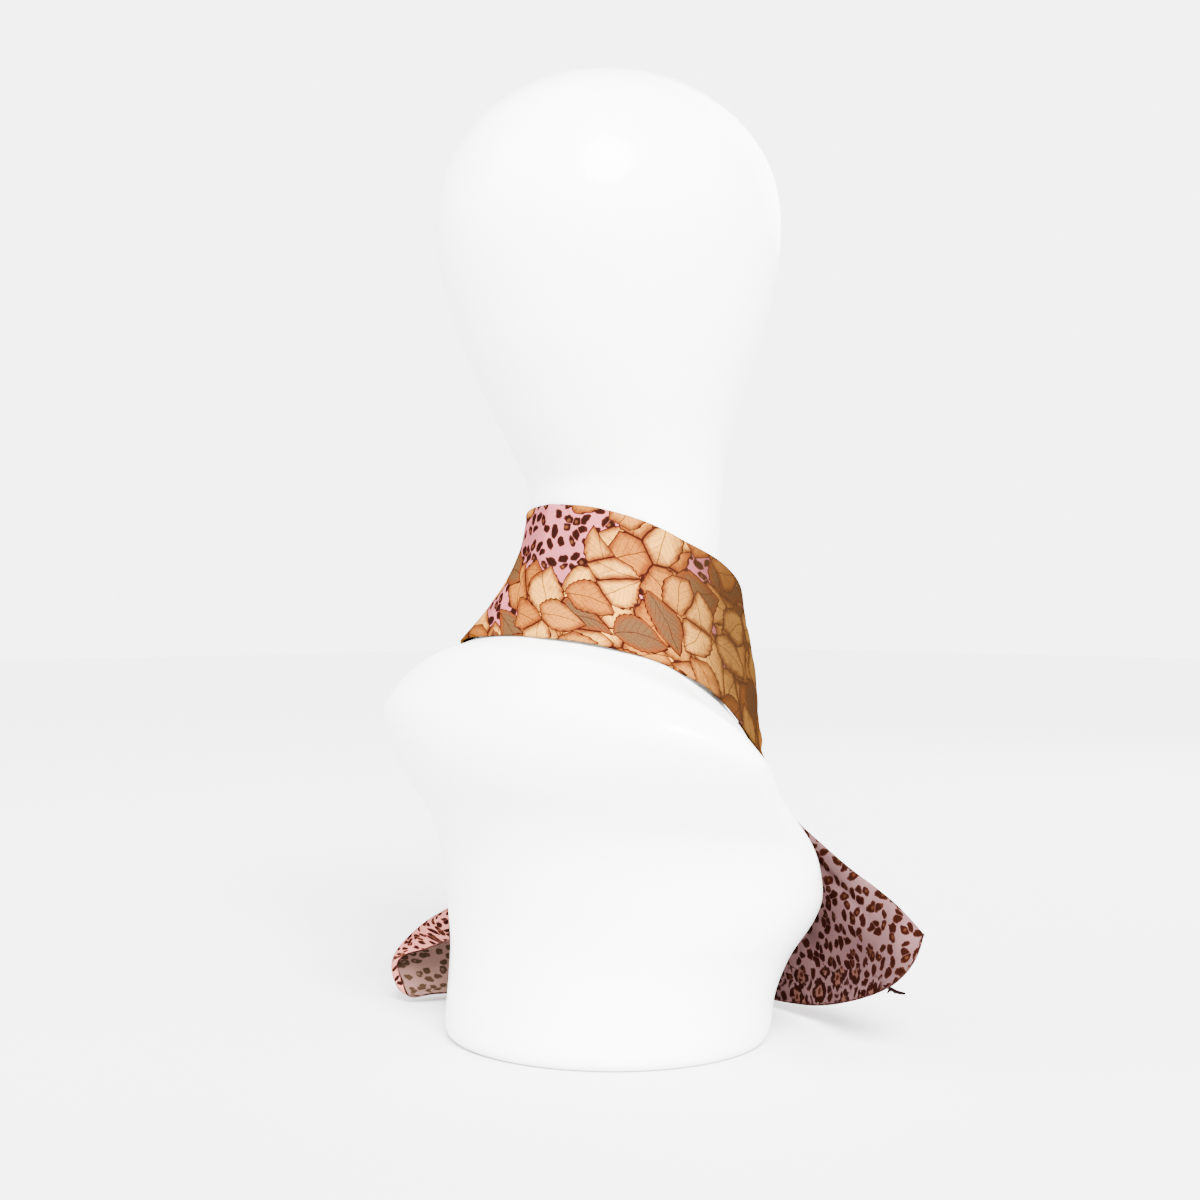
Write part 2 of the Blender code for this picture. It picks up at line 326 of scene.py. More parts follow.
# start along, across, end along, across (shares of the piece), width mm, height mm
bandCreases = (
    (0.00, 0.30, 0.26, 0.16, 3.0, -0.9),
    (0.00, 0.45, 0.33, 0.46, 4.2, 0.8),
    (0.00, 0.62, 0.22, 0.70, 3.4, -1.0),
    (0.00, 0.80, 0.15, 0.90, 3.0, 0.7),
    (0.30, 0.30, 0.47, 0.52, 6.0, -0.4),
    (0.44, 0.74, 0.66, 0.62, 7.0, 0.45),
    (0.55, 0.20, 0.75, 0.34, 6.5, -0.35),
    (0.72, 0.55, 1.00, 0.42, 4.6, 0.9),
    (0.80, 0.80, 1.00, 0.64, 3.4, -1.0),
    (0.70, 0.22, 1.00, 0.26, 3.6, -0.8),
    (0.88, 0.92, 1.00, 0.82, 2.8, 0.6),
)


def bandMiddle(u, v):
    side = 1.0 if u < 0.5 else -1.0
    row = between(bandRows, abs(2.0 * u - 1.0))
    top = Vector(row[0:3])
    bottom = Vector(row[3:6])
    middle = top.lerp(bottom, v)
    outward = Vector((middle.x, middle.y + 15.0, 0.0)).normalized()
    middle += outward * row[6] * math.sin(math.pi * min(max(v, 0.0), 1.0))
    return Vector((middle.x * side, middle.y, middle.z)) * mm


def bandOutward(u, v):
    step = 0.004
    run = bandMiddle(min(u + step, 1.0), v) - bandMiddle(max(u - step, 0.0), v)
    down = bandMiddle(u, v + step) - bandMiddle(u, v - step)
    normal = run.cross(down).normalized()
    point = bandMiddle(u, v)
    return normal if normal.dot(Vector((point.x, point.y + 0.015, 0.0))) > 0.0 else -normal


# w runs up the inside, over the top fold, down the outside and round the lower fold
def bandPoint(u, w, tree):
    inner = band["innerShare"]
    fold = band["foldShare"]
    half = 0.5 * band["layerGap"]
    depth = band["innerDepth"]
    if w < inner:
        v, offset, past = depth * (1.0 - w / inner), -half, 0.0
    elif w < inner + fold:
        turn = math.pi * (w - inner) / fold
        v, offset, past = 0.0, -half * math.cos(turn), math.sin(turn) * half
    elif w < 1.0 - fold:
        v, offset, past = (w - inner - fold) / (1.0 - inner - 2.0 * fold), half, 0.0
    else:
        turn = math.pi * (w - 1.0 + fold) / fold
        v, offset, past = 1.0, half * math.cos(turn), -math.sin(turn) * half
    outward = bandOutward(u, v)
    point = bandMiddle(u, v)
    up = (bandMiddle(u, 0.0) - bandMiddle(u, 1.0)).normalized()
    height = creaseHeight(bandCreases, u, v, 0.43, 0.085) * mm if offset >= 0.0 else 0.0
    closeness = abs(2.0 * u - 1.0) ** 4
    pleat = band["pleat"] * closeness * math.cos(2.0 * math.pi * (3.0 * v + 0.15 * math.sin(9.0 * v)))
    ripple = band["ripple"] * noise.noise(Vector((u * 14.0, v * 3.0, 2.0)))
    point += outward * ((offset + pleat + ripple) * mm + height) + up * past * mm
    point = holdOff(point, tree, (band["clearance"] + offset) * mm)
    return holdOffKnot(point, -2.0)


tail = {
    "along": 110,
    "across": 120,
    "thickness": 0.3,  # mm
    "clearance": 1.6,  # mm off the bust
    "offFloor": 1.2,  # mm
    "wave": 0.5,  # mm
    "hemRadius": 0.5,  # mm
    "hemFrom": 0.14,  # share of the run where the side hems start
    "stitchEvery": 5.5,  # mm
    "stitchRadius": 0.13,  # mm
    "tipRound": 0.068,  # share of the run taken off the corner
    "tipWide": 0.13,
    "looseEnd": 107,  # place in the hem's points
    "looseRadius": 1.05,  # mm
    "flat": {"right": (0.15, 0.19), "left": (0.13, 0.22)},  # m
    "area": 0.0165,  # m2 of each
}

# lower x, y, z, corner x, y, z, fold x, y, z, free x, y, z, sag, apart; from the knot to the hem
rightRows = (
    (-7.0, -94.0, 118.0, -11.0, -92.0, 123.0, -15.0, -96.0, 128.0, -9.0, -102.0, 121.0, 0.0, 2.0),
    (-4.0, -102.0, 96.0, -27.0, -96.0, 108.0, -39.0, -95.0, 112.5, -26.0, -104.0, 103.0, 2.0, 4.0),
    (0.0, -109.0, 70.0, -52.0, -96.0, 88.0, -65.0, -94.0, 97.0, -50.0, -106.0, 83.0, 4.0, 5.0),
    (4.0, -114.0, 44.0, -80.0, -93.0, 70.0, -91.0, -93.0, 83.0, -74.0, -107.0, 66.0, 5.0, 6.0),
    (6.0, -116.0, 20.0, -112.0, -84.0, 50.0, -118.0, -91.0, 70.5, -98.0, -107.0, 49.0, 6.0, 6.0),
    (8.0, -117.0, 3.0, -129.0, -71.0, 33.5, -143.0, -88.0, 53.0, -110.0, -104.0, 35.0, 8.0, 6.0),
)
leftRows = (
    (7.0, -94.0, 118.0, 10.0, -99.0, 121.0, 15.0, -96.0, 128.0, 10.0, -92.0, 124.0, 0.0, 2.0),
    (26.0, -104.0, 96.0, 34.0, -108.0, 102.0, 44.0, -100.0, 116.0, 36.0, -94.0, 110.0, 1.0, 3.0),
    (52.0, -102.0, 68.0, 66.0, -104.0, 78.0, 76.0, -92.0, 101.0, 66.0, -88.0, 94.0, 1.0, 4.0),
    (82.0, -84.0, 36.0, 98.0, -82.0, 52.0, 104.0, -70.0, 81.0, 94.0, -62.0, 74.0, 1.0, 5.0),
    (102.0, -52.0, 12.0, 120.0, -44.0, 26.0, 126.0, -34.0, 61.0, 112.0, -26.0, 58.0, 1.0, 5.0),
    (112.0, -24.0, 5.0, 132.0, -4.0, 10.0, 139.0, 4.0, 38.5, 124.0, -6.0, 52.0, 0.0, 5.0),
    (118.0, -4.0, 5.0, 137.0, 28.0, 7.0, 141.0, 33.0, 23.5, 126.0, 3.0, 49.0, 0.0, 4.5),
    (116.0, 4.0, 5.0, 131.0, 30.0, 5.0, 129.0, 32.0, 24.0, 109.0, 17.5, 37.0, 0.0, 2.0),
)

# given as the band's creases are
rightCreases = (
    (0.00, 0.10, 0.72, 0.07, 4.0, 1.6),
    (0.00, 0.22, 0.95, 0.20, 5.0, -2.0),
    (0.00, 0.34, 0.60, 0.33, 4.0, 1.7),
    (0.10, 0.44, 0.90, 0.43, 5.5, -1.3),
    (0.00, 0.55, 0.45, 0.54, 3.5, 1.0),
    (0.00, 0.80, 0.50, 0.84, 3.0, -0.8),
)
leftCreases = (
    (0.00, 0.14, 0.60, 0.20, 3.5, 1.2),
    (0.00, 0.34, 0.80, 0.30, 4.0, -1.1),
    (0.20, 0.48, 0.95, 0.46, 4.5, 0.9),
    (0.00, 0.76, 0.55, 0.80, 3.0, -0.7),
)


def tailMiddle(rows, u, v):
    near = math.exp(-(((v - 0.6) / tail["tipWide"]) ** 2))  # 1 at the fold's corner
    row = between(rows, u * (1.0 - tail["tipRound"] * near))
    lower, corner, fold, free = (Vector(row[i:i + 3]) for i in (0, 3, 6, 9))
    sag, apart = row[12:14]
    sagging = lower.lerp(corner, 0.5) - Vector((0.0, 0.6, 1.0)) * sag
    over = fold.lerp(free, 0.45)
    off = (free - fold).cross(corner - lower).cross(free - fold)
    over += off.normalized() * (-apart if off.dot(fold - corner) < 0.0 else apart)
    return Vector(between((lower, sagging, corner, fold, over, free), v)) * mm


def tailPoint(rows, creases, u, v, tree):
    step = 0.01
    lowU, highU = max(u - step, 0.0), min(u + step, 1.0)
    lowV, highV = max(v - step, 0.0), min(v + step, 1.0)
    run = tailMiddle(rows, highU, v) - tailMiddle(rows, lowU, v)
    rise = tailMiddle(rows, u, highV) - tailMiddle(rows, u, lowV)
    normal = run.cross(rise).normalized()
    point = tailMiddle(rows, u, v)
    height = creaseHeight(creases, u, v, 0.20, 0.20)
    wave = tail["wave"] * noise.noise(Vector((u * 5.0, v * 6.0, rows[1][0]))) * smooth(0.0, 0.4, u)
    point += normal * (height + wave) * mm
    point = holdOff(point, tree, tail["clearance"] * mm)
    point = holdOffKnot(point, -2.0)
    point.z = max(point.z, (0.5 * tail["thickness"] + tail["offFloor"]) * mm)
    return point


def tubeAlong(name, points, radius, materials, sides=8):
    builder = bmesh.new()
    last = len(points) - 1
    bmesh.ops.create_grid(builder, x_segments=last, y_segments=sides, size=0.5, calc_uvs=True)
    runs = [0.0]
    for a, b in zip(points, points[1:]):
        runs.append(runs[-1] + (b - a).length)
    layer = builder.loops.layers.uv.new("cloth")
    keys = {}
    for vert in builder.verts:
        i = round((vert.co.x + 0.5) * last)
        j = round((vert.co.y + 0.5) * sides)
        ahead = (points[min(i + 1, last)] - points[max(i - 1, 0)]).normalized()
        side = ahead.cross(Vector((0.13, 0.21, 0.97))).normalized()
        other = side.cross(ahead)
        angle = 2.0 * math.pi * j / sides
        swell = 1.0 + 0.12 * noise.noise(Vector((i * 0.35, 0.0, len(points) * 1.0)))
        taper = 0.25 + 0.75 * min(smooth(0.0, 2.0, i), smooth(0.0, 2.0, last - i))
        wide = radius * swell * taper * mm
        vert.co = points[i] + (side * math.cos(angle) + other * math.sin(angle)) * wide
        keys[vert] = (runs[i], angle * radius * mm)
    for face in builder.faces:
        for loop in face.loops:
            loop[layer].uv = keys[loop.vert]
    bmesh.ops.remove_doubles(builder, verts=builder.verts, dist=0.00001)
    ends = [edge for edge in builder.edges if edge.is_boundary]
    bmesh.ops.holes_fill(builder, edges=ends, sides=sides + 1)
    bmesh.ops.recalc_face_normals(builder, faces=builder.faces)
    return newObject(name, builder, materials)


def hemStitches(name, points, every, radius, material):
    builder = bmesh.new()
    gone = 0.0
    for a, b in zip(points, points[1:]):
        gone += (b - a).length
        if gone < every * mm:
            continue
        gone = 0.0
        ahead = (b - a).normalized()
        side = ahead.cross(Vector((0.13, 0.21, 0.97))).normalized()
        thin = tail["stitchRadius"] * mm
        made = bmesh.ops.create_cone(
            builder, cap_ends=True, segments=6, radius1=thin, radius2=thin, depth=2.1 * radius * mm
        )
        slant = (side + ahead * 0.5).normalized()
        turn = Vector((0.0, 0.0, 1.0)).rotation_difference(slant)
        for vert in made["verts"]:
            vert.co = turn @ vert.co + a + side.cross(ahead) * radius * 0.55 * mm
    return newObject(name, builder, [material])


knot = {
    "around": 96,
    "rings": 64,
    "centre": (0.0, -91.0, 134.0),  # mm
    "radii": (18.0, 14.0, 16.0),
    "wrapRadii": (14.6, 16.8),
    "wrapWidth": 12.5,  # mm, half of the strip
    "wrapTilt": 14.0,  # degrees
    "wrapTuck": 5.5,  # mm that the wrap's edges go in
    "wrapThickness": 0.35,  # mm
    "wrapFlat": (0.030, 0.112),  # m
    "fill": 0.8,
    # share of painted shade on the knot
    "paintedShade": 0.45,
}


def knotCore(material):
    builder = bmesh.new()
    bmesh.ops.create_uvsphere(builder, u_segments=knot["around"], v_segments=knot["rings"], radius=1.0)
    sortSphere(builder, knot["around"], knot["rings"])
    layer = builder.loops.layers.uv.new("cloth")
    centre = Vector(knot["centre"])
    for vert in builder.verts:
        x, y, z = vert.co
        lobe = 1.0 + 0.05 * math.sin(7.0 * z + 2.2 * x) * abs(x) + 0.04 * math.sin(11.0 * z - 3.0 * x)
        dent = 1.0 - 0.10 * math.exp(-((x / 0.22) ** 2)) * (0.6 + 0.4 * math.cos(3.0 * z))
        size = lobe * dent
        vert.co = Vector((centre[i] + knot["radii"][i] * vert.co[i] * size for i in range(3))) * mm
    for face in builder.faces:
        for loop in face.loops:
            co = loop.vert.co
            loop[layer].uv = (co.x * 1.2, co.z * 1.2 + co.y * 0.6)
    piece = newObject("knotCore", builder, [material])
    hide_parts("foulard_knot")
    return piece


def knotWrap(materials):
    centre = Vector(knot["centre"])
    tilt = math.radians(knot["wrapTilt"])

    def placeOf(u, v):
        angle = 2.0 * math.pi * u
        front = 0.5 - 0.5 * math.sin(angle)
        narrow = 0.62 + 0.38 * front
        spread = (v - 0.5) * 2.0
        ridges = 0.9 * math.cos(2.0 * math.pi * (2.6 * v + 0.08 * math.sin(angle)))
        ridges += 0.4 * math.cos(2.0 * math.pi * 4.3 * v + 1.3)
        dome = 2.3 * (1.0 - spread ** 2) ** 0.5 - knot["wrapTuck"] * spread ** 6
        reach = dome + ridges * (1.0 - spread ** 4)
        y = (knot["wrapRadii"][0] + reach) * math.sin(angle)
        z = (knot["wrapRadii"][1] + reach) * math.cos(angle)
        x = spread * knot["wrapWidth"] * narrow
        x, z = x * math.cos(tilt) + z * math.sin(tilt), z * math.cos(tilt) - x * math.sin(tilt)
        return (centre + Vector((x, y, z))) * mm

    piece = clothGrid("knotWrap", 96, 36, placeOf, knot["wrapThickness"], materials)
    return piece


class Tree:
    def __init__(self, name):
        self.material = bpy.data.materials.new(name)
        self.material.use_nodes = True
        self.nodes = self.material.node_tree.nodes
        self.links = self.material.node_tree.links
        self.shader = self.nodes["Principled BSDF"]

    def put(self, socket, value):
        if isinstance(value, bpy.types.NodeSocket):
            self.links.new(value, socket)
        elif isinstance(value, (tuple, list)) and len(value) == 3 and socket.type == "RGBA":
            socket.default_value = (*value, 1.0)
        else:
            socket.default_value = value

    def math(self, kind, a, b=0.5, c=0.0):
        node = self.nodes.new("ShaderNodeMath")
        node.operation = kind
        for i, value in enumerate((a, b, c)):
            self.put(node.inputs[i], value)
        return node.outputs[0]

    def vector(self, kind, a, b=(0.0, 0.0, 0.0), scale=1.0):
        node = self.nodes.new("ShaderNodeVectorMath")
        node.operation = kind
        self.put(node.inputs[0], a)
        self.put(node.inputs[1], b)
        if kind == "SCALE":
            self.put(node.inputs["Scale"], scale)
        return node.outputs[1] if kind in ("LENGTH", "DOT_PRODUCT", "DISTANCE") else node.outputs[0]

    def ramp(self, value, low, high):
        node = self.nodes.new("ShaderNodeMapRange")
        node.interpolation_type = "SMOOTHSTEP"
        self.put(node.inputs["Value"], value)
        self.put(node.inputs["From Min"], low)
        self.put(node.inputs["From Max"], high)
        return node.outputs["Result"]

    def mix(self, share, a, b):
        node = self.nodes.new("ShaderNodeMix")
        node.data_type = "RGBA"
        self.put(node.inputs[0], share)
        self.put(node.inputs[6], a)
        self.put(node.inputs[7], b)
        return node.outputs[2]

    def noise(self, coords, scale, detail=2.0, colour=False):
        node = self.nodes.new("ShaderNodeTexNoise")
        self.put(node.inputs["Vector"], coords)
        node.inputs["Scale"].default_value = scale
        node.inputs["Detail"].default_value = detail
        return node.outputs["Color" if colour else "Fac"]

    def voronoi(self, coords, feature="F1", randomness=1.0):
        node = self.nodes.new("ShaderNodeTexVoronoi")
        node.voronoi_dimensions = "2D"
        node.feature = feature
        self.put(node.inputs["Vector"], coords)
        node.inputs["Scale"].default_value = 1.0
        node.inputs["Randomness"].default_value = randomness
        return node

    def split(self, vector):
        node = self.nodes.new("ShaderNodeSeparateXYZ")
        self.put(node.inputs[0], vector)
        return node.outputs

    def tint(self, colour):
        node = self.nodes.new("ShaderNodeSeparateColor")
        self.links.new(colour, node.inputs[0])
        return node.outputs

    def turned(self, vector, angle):
        node = self.nodes.new("ShaderNodeVectorRotate")
        node.rotation_type = "Z_AXIS"
        self.put(node.inputs["Vector"], vector)
        self.put(node.inputs["Angle"], angle)
        return node.outputs[0]

    def layer(self, name):
        node = self.nodes.new("ShaderNodeUVMap")
        node.uv_map = name
        return node.outputs[0]

    def cloth(self, colour, coords, roughness=0.5):
        self.put(self.shader.inputs["Base Color"], colour)
        self.shader.inputs["Roughness"].default_value = roughness
        self.shader.inputs["Sheen Weight"].default_value = 0.0
        self.shader.inputs["Specular IOR Level"].default_value = 0.0
        bump = self.nodes.new("ShaderNodeBump")
        bump.inputs["Strength"].default_value = 0.12
        bump.inputs["Distance"].default_value = 0.0004
        self.put(bump.inputs["Height"], self.noise(coords, 900.0, 3.0))
        self.links.new(bump.outputs[0], self.shader.inputs["Normal"])


looks = {
    "pink": (0.264, 0.06688, 0.07744),
    "pinkDeep": (0.176, 0.04752, 0.05456),
    "spot": (0.0088, 0.002288, 0.001584),
    # painted light: a paler, peachier copy of the leopard inks, for the left tail and the right tail's outer
    # side, which get less lamp light
    "paintedLightPink": (0.340, 0.120, 0.098),
    "paintedLightPinkDeep": (0.250, 0.080, 0.068),
    # painted shade: a darker copy of the leopard inks, for the right tail's side seen from behind
    "paintedShadePink": (0.08624, 0.044, 0.04488),
    "paintedShadePinkDeep": (0.0616, 0.03168, 0.03256),
    "paintedShadeSpot": (0.00836, 0.002024, 0.001232),
    "paintedShadeEdge": (0.01936, 0.005456, 0.002992),
    "paintedShadeRosette": (0.0528, 0.0176, 0.00748),
    "spotEdge": (0.0264, 0.0066, 0.00352),
    "rosette": (0.1056, 0.03344, 0.01232),
    "reverse": (0.154, 0.08624, 0.0704),
    "reverseDeep": (0.1232, 0.06688, 0.05456),
    "reverseSpot": (0.02992, 0.01672, 0.00924),
    "cream": (0.3601, 0.1582, 0.02728),
    "ochre": (0.1637, 0.0491, 0.006512),
    "burnt": (0.07093, 0.01637, 0.003784),
    "taupe": (0.05183, 0.02455, 0.009856),
    "outline": (0.01311, 0.002728, 0.001672),
    "hem": (0.01091, 0.003256, 0.0022),
    "hemPale": (0.06547, 0.02728, 0.02455),
    "paintedShade": (0.16, 0.155, 0.17),  # painted shade: share of the colour left at the sides of the neck
    "paintedShadeTaupe": 0.24,  # share of taupe mixed into the painted shade there
    "thread": (0.0035, 0.0015, 0.0012),
}
faceInks = {
    "ground": looks["pink"],
    "groundDeep": looks["pinkDeep"],
    "spot": looks["spot"],
    "edge": looks["spotEdge"],
    "centre": looks["rosette"],
}
# painted light: the paler copy of the leopard inks
paintedLightInks = {
    "ground": looks["paintedLightPink"],
    "groundDeep": looks["paintedLightPinkDeep"],
    "spot": looks["spot"],
    "edge": looks["spotEdge"],
    "centre": looks["rosette"],
}
# painted shade: the darker copy of the leopard inks
paintedShadeInks = {
    "ground": looks["paintedShadePink"],
    "groundDeep": looks["paintedShadePinkDeep"],
    "spot": looks["paintedShadeSpot"],
    "edge": looks["paintedShadeEdge"],
    "centre": looks["paintedShadeRosette"],
}
backInks = {
    "ground": looks["reverse"],
    "groundDeep": looks["reverseDeep"],
    "spot": looks["reverseSpot"],
    "edge": looks["reverseSpot"],
    "centre": looks["reverse"],
}


def wovenCoords(tree, wobble=0.0016, scale=170.0):
    uv = tree.layer("cloth")
    shift = tree.vector("SUBTRACT", tree.noise(uv, scale, 2.0, True), (0.5, 0.5, 0.5))
    return uv, tree.vector("ADD", uv, tree.vector("SCALE", shift, scale=wobble * 2.0))


leopard = {
    "bandSpots": 146.0,  # spots in a metre
    "paleSpots": 200.0,
    "shadeSpots": 147.0,
    "backSpots": 150.0,
    "stretch": (0.70, 1.14, 1.0),
    "backStretch": (1.0, 1.15, 1.0),
    "scatter": 0.92,
    "reach": (0.30, 0.16),  # smallest spot and what chance adds
    "fray": 0.34,
    "rosetteRow": 0.018,  # m from the hem
    "rosetteUpTo": (0.39, 0.37),  # share of the hem with rosettes
    "rosettes": 66.0,  # in a metre
    "ringAt": 0.31,
}


def leopardColour(tree, uv, coords, inks, rosetteShare, spotScale, stretch=leopard["stretch"]):
    place = tree.vector("SCALE", coords, scale=spotScale)
    cells = tree.voronoi(place, randomness=leopard["scatter"])
    apart = tree.voronoi(place, "DISTANCE_TO_EDGE", leopard["scatter"]).outputs["Distance"]
    rel = tree.vector("SUBTRACT", place, cells.outputs["Position"])
    chance = tree.tint(cells.outputs["Color"])
    turned = tree.turned(rel, tree.math("MULTIPLY", chance[0], fullTurn))
    away = tree.vector("LENGTH", tree.vector("MULTIPLY", turned, stretch))
    fray = tree.math("MULTIPLY_ADD", tree.noise(uv, 340.0, 1.0), leopard["fray"], -0.5 * leopard["fray"])
    least, more = leopard["reach"]
    reach = tree.math("ADD", tree.math("MULTIPLY_ADD", chance[1], more, least), fray)
    depth = tree.math("SUBTRACT", reach, away)
    inside = tree.math("SMOOTH_MIN", depth, tree.math("MULTIPLY", apart, 1.5), 0.14)
    spots = tree.ramp(inside, -0.015, 0.035)
    core = tree.ramp(inside, 0.03, 0.12)
    hollow = tree.math("GREATER_THAN", chance[2], 0.66)
    middle = tree.vector("DISTANCE", rel, (0.05, 0.04, 0.0))
    hole = tree.ramp(tree.math("SUBTRACT", 0.15, middle), -0.05, 0.08)
    hole = tree.math("MULTIPLY", hole, hollow)
    base = tree.mix(tree.ramp(tree.noise(uv, 24.0), 0.35, 0.7), inks["ground"], inks["groundDeep"])
    small = tree.mix(spots, base, tree.mix(core, inks["edge"], inks["spot"]))
    small = tree.mix(tree.math("MULTIPLY", hole, 0.45), small, inks["centre"])
    place = tree.vector("SCALE", tree.vector("ADD", coords, (3.31, 1.7, 0.0)), scale=leopard["rosettes"])
    big = tree.voronoi(place, randomness=0.7).outputs["Distance"]
    ring = tree.math("ABSOLUTE", tree.math("SUBTRACT", big, leopard["ringAt"]))
    ringWide = tree.math("MULTIPLY_ADD", tree.ramp(tree.noise(uv, 300.0), 0.34, 0.58), 0.13, 0.03)
    ringMark = tree.ramp(tree.math("SUBTRACT", ringWide, ring), -0.02, 0.03)
    centre = tree.ramp(tree.math("SUBTRACT", 0.29, big), -0.02, 0.04)
    dot = tree.ramp(tree.math("SUBTRACT", 0.10, big), -0.02, 0.03)
    rosettes = tree.mix(tree.math("MULTIPLY", centre, 0.6), base, inks["centre"])
    rosettes = tree.mix(ringMark, rosettes, inks["spot"])
    rosettes = tree.mix(dot, rosettes, inks["edge"])
    keep = tree.ramp(big, 0.58, 0.50)
    return tree.mix(tree.math("MULTIPLY", rosetteShare, keep), small, rosettes)


leaf = {
    "layers": (  # leaves in a metre, shift
        (36.0, (0.7, 0.3, 0.0)),
        (42.0, (2.1, 5.2, 0.0)),
        (39.0, (4.4, 1.9, 0.0)),
        (47.0, (9.2, 7.1, 0.0)),
    ),
    "half": 0.78,  # half length, in cells
    "wide": 0.46,
    "bend": 0.22,
    "teeth": (34.0, 0.014),  # how many and how deep
    "ribs": 38.0,
    "grain": 1100.0,
}

# where the leopard shows between the leaves: along, across, half length, half height (m)
barePatches = (
    (0.228, -0.004, 0.040, 0.024),
    (0.264, 0.038, 0.028, 0.017),
    (0.182, -0.010, 0.016, 0.010),
    (0.134, -0.006, 0.018, 0.011),
    (0.305, 0.010, 0.036, 0.050),
)


# one layer of leaves: where they are, and their colours
def leafLayer(tree, uv, coords, scale, shift):
    place = tree.vector("SCALE", tree.vector("ADD", coords, shift), scale=scale)
    cells = tree.voronoi(place, randomness=0.9)
    edge = tree.voronoi(place, "DISTANCE_TO_EDGE", 0.9).outputs["Distance"]
    rel = tree.vector("SUBTRACT", place, cells.outputs["Position"])
    tint = tree.tint(cells.outputs["Color"])
    x, y, _ = tree.split(tree.turned(rel, tree.math("MULTIPLY", tint[0], fullTurn)))
    bent = tree.math("MULTIPLY_ADD", tree.math("MULTIPLY", x, x), leaf["bend"], y)
    aside = tree.math("ABSOLUTE", bent)
    along = tree.math("DIVIDE", x, leaf["half"])
    full = tree.math("SUBTRACT", 1.0, tree.math("MULTIPLY", along, along))
    often, deep = leaf["teeth"]
    teeth = tree.math("SINE", tree.math("MULTIPLY", tree.math("ADD", x, aside), often))
    wide = tree.math("MULTIPLY", full, tree.math("MULTIPLY_ADD", along, -0.10, leaf["wide"]))
    wide = tree.math("ADD", wide, tree.math("MULTIPLY", teeth, deep))
    depth = tree.math("SUBTRACT", wide, aside)
    centre = tree.vector("SCALE", cells.outputs["Position"], scale=1.0 / scale)
    centre = tree.vector("SUBTRACT", centre, shift)
    present = tree.math("GREATER_THAN", tree.math("ADD", tint[1], leafZone(tree, centre)), 0.5)
    mask = tree.math("MULTIPLY", tree.ramp(depth, -0.006, 0.006), present)
    rim = tree.math("MINIMUM", depth, tree.math("ADD", edge, 0.012))
    line = tree.ramp(rim, 0.040, 0.024)
    vein = tree.ramp(aside, 0.016, 0.006)
    slant = tree.math("SUBTRACT", x, tree.math("MULTIPLY", aside, 1.1))
    rib = tree.math("SINE", tree.math("MULTIPLY", slant, leaf["ribs"]))
    rib = tree.math("MULTIPLY", tree.ramp(rib, 0.90, 0.985), tree.ramp(depth, 0.04, 0.10))
    veins = tree.math("MAXIMUM", tree.math("MULTIPLY", vein, 0.8), tree.math("MULTIPLY", rib, 0.45))
    lines = tree.math("MAXIMUM", line, veins)
    uneven = tree.math("MULTIPLY_ADD", tree.noise(uv, 120.0, 3.0), 0.12, -0.06)
    shade = tree.ramp(tree.math("ADD", rim, uneven), 0.02, 0.20)
    body = tree.mix(tree.ramp(tint[2], 0.30, 0.75), looks["cream"], looks["ochre"])
    body = tree.mix(tree.math("GREATER_THAN", tint[2], 0.84), body, looks["taupe"])
    blotch = tree.ramp(tree.noise(uv, 130.0, 4.0), 0.50, 0.72)
    body = tree.mix(tree.math("MULTIPLY", blotch, 0.45), body, looks["burnt"])
    grain = tree.math("MULTIPLY_ADD", tree.noise(uv, leaf["grain"], 3.0), 1.2, 0.40)
    fill = tree.vector("SCALE", tree.mix(shade, looks["burnt"], body), scale=grain)
    return mask, tree.mix(lines, fill, looks["outline"])


def leafZone(tree, centre):
    bare = 0.0
    for x, y, wide, high in barePatches:
        away = tree.vector("SUBTRACT", centre, (x, y, 0.0))
        away = tree.vector("MULTIPLY", away, (1.0 / wide, 1.0 / high, 0.0))
        bare = tree.math("MAXIMUM", bare, tree.ramp(tree.vector("LENGTH", away), 1.1, 0.85))
    return tree.math("MULTIPLY_ADD", bare, -1.6, 0.6)


def printedSilk(name, inks, rosetteRow, spotScale):
    tree = Tree(name)
    uv, coords = wovenCoords(tree)
    hem = tree.split(tree.layer("fromHem"))
    uneven = tree.math("MULTIPLY_ADD", tree.noise(uv, 70.0), 0.016, -0.008)
    low = tree.ramp(tree.math("ADD", hem[0], uneven), rosetteRow + 0.001, rosetteRow)
    share = tree.math("MULTIPLY", low, tree.ramp(hem[1], *leopard["rosetteUpTo"]))
    tree.cloth(leopardColour(tree, uv, coords, inks, share, spotScale), uv)
    return tree.material


def reverseSilk(name):
    tree = Tree(name)
    uv, coords = wovenCoords(tree)
    colour = leopardColour(tree, uv, coords, backInks, 0.0, leopard["backSpots"], leopard["backStretch"])
    tree.cloth(colour, uv, 0.6)
    return tree.material


